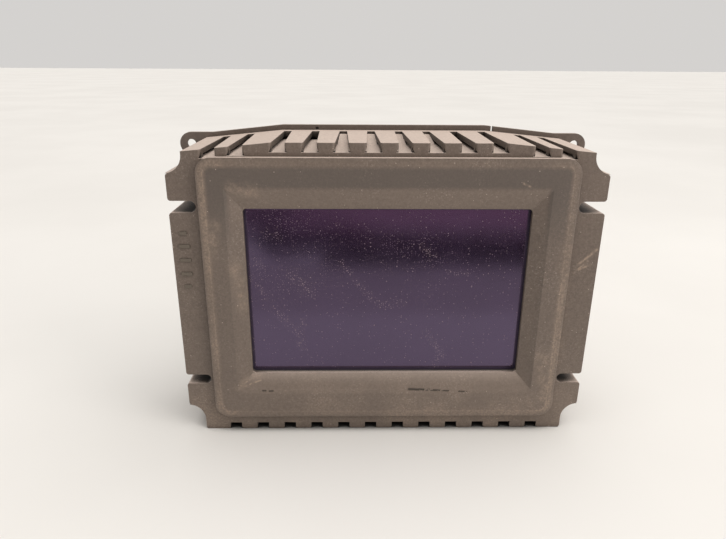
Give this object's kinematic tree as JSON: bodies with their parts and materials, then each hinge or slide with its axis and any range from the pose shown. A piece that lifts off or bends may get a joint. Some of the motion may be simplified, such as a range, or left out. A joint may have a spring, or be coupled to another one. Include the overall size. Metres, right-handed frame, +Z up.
{
  "type": "information display module",
  "caption": "Dashboard display module: louvred housing with a raised bezel ring around a recessed landscape screen, grooved side wings and a rear cover with screw ears",
  "frame": {"origin": "middle of the bottom of the bounding box: the module stands on the ribs of its lower edge at Z = 0", "axes": "+Z up, the screen faces -Y, +X to the viewer's right"},
  "size_m": [0.1938, 0.0574, 0.1363],
  "materials": {
    "housing_plastic": "warm dark grey moulded ABS, fine grain, dusty",
    "cover_plastic": "darker brown-grey moulded plastic",
    "foam": "black closed-cell foam",
    "steel": "plain tin-plated sheet",
    "screw_steel": "zinc-plated",
    "screen_surface": "dark purple-navy polarizer with a glossy surface",
    "panel_glass": "thin clear panel glass",
    "polarizer_film": "dark film",
    "optical_film": "milky film",
    "acrylic": "clear acrylic",
    "white_film": "white reflector film",
    "white_plastic": "white moulded plastic",
    "flex_film": "amber flexible circuit",
    "led_package": "yellow phosphor on white",
    "circuit_board": "green solder mask",
    "chip_black": "moulded black packages",
    "thermal_rubber": "soft grey pad",
    "capacitor_can": "drawn aluminium cans",
    "ferrite": "pressed ferrite",
    "ceramic": "fired ceramic chips",
    "socket_plastic": "ivory socket plastic",
    "latch_plastic": "dark brown latch plastic",
    "connector_plastic": "black moulded connector",
    "contact_brass": "plated contact pins",
    "label_film": "blank label film"
  },
  "bodies": {
    "module": {"front_housing": "housing_plastic", "rear_cover": "cover_plastic", "window_gasket": "foam", "lcd_frame": "steel", "front_polarizer": "screen_surface", "lcd_front_glass": "panel_glass", "lcd_rear_glass": "panel_glass", "rear_polarizer": "polarizer_film", "prism_sheet": "optical_film", "diffuser_sheet": "optical_film", "light_guide": "acrylic", "reflector_sheet": "white_film", "backlight_tray": "white_plastic", "lcd_back_plate": "steel", "led_strip": "flex_film", "leds": "led_package", "led_tail": "flex_film", "lcd_flex": "flex_film", "lcd_screws": "screw_steel", "main_board": "circuit_board", "board_screws": "screw_steel", "processor": "chip_black", "thermal_pad": "thermal_rubber", "shield_can": "steel", "memory_chips": "chip_black", "video_controller": "chip_black", "power_regulator": "chip_black", "bus_transceiver": "chip_black", "clock_crystal": "steel", "electrolytic_capacitors": "capacitor_can", "power_inductors": "ferrite", "ceramic_capacitors": "ceramic", "fpc_socket": "socket_plastic", "led_socket": "socket_plastic", "rear_connector": "connector_plastic", "connector_pins": "contact_brass", "cover_screws": "screw_steel", "blank_label": "label_film"},
    "latch": {"fpc_latch": "latch_plastic"}
  },
  "joints": [
    {"name": "latch_slide", "type": "slide", "parent": "module", "child": "latch", "axis": [0, 0, -1], "range_m": [0, 0.001]}
  ]
}
